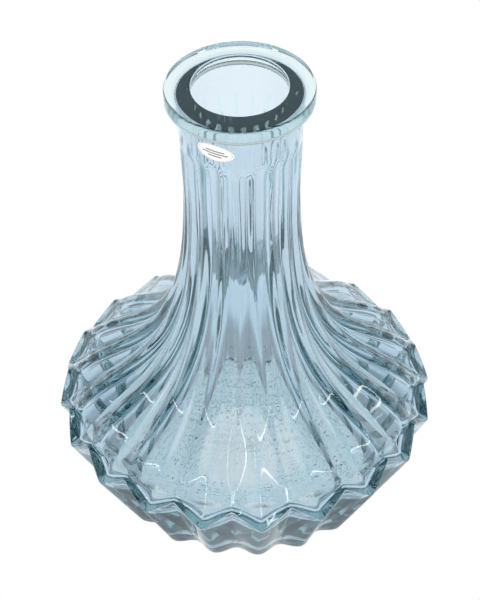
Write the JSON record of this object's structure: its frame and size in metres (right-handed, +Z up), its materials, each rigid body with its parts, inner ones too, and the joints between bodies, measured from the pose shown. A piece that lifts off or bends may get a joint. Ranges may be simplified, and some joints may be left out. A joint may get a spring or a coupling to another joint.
{
  "type": "glass flask vase",
  "caption": "Heavy ribbed blue glass flask vase with a wide zigzag-edged belly, trumpet shoulder, round neck, flat disc lip and a small oval label.",
  "frame": {"origin": "middle of the underside of the foot, on the surface the vase stands on", "axes": "+Z up along the vessel's axis, out of the mouth; -Y is the front, where one tip of the star edge points"},
  "size_m": [0.1932, 0.1932, 0.245],
  "materials": {
    "blue_glass": "fire polished, transparent slate blue",
    "label_glue": "clear adhesive film",
    "label_face": "satin white label film"
  },
  "bodies": {
    "root": {"glass_vessel": "blue_glass", "label_adhesive": "label_glue", "label_film": "label_face"}
  },
  "joints": []
}
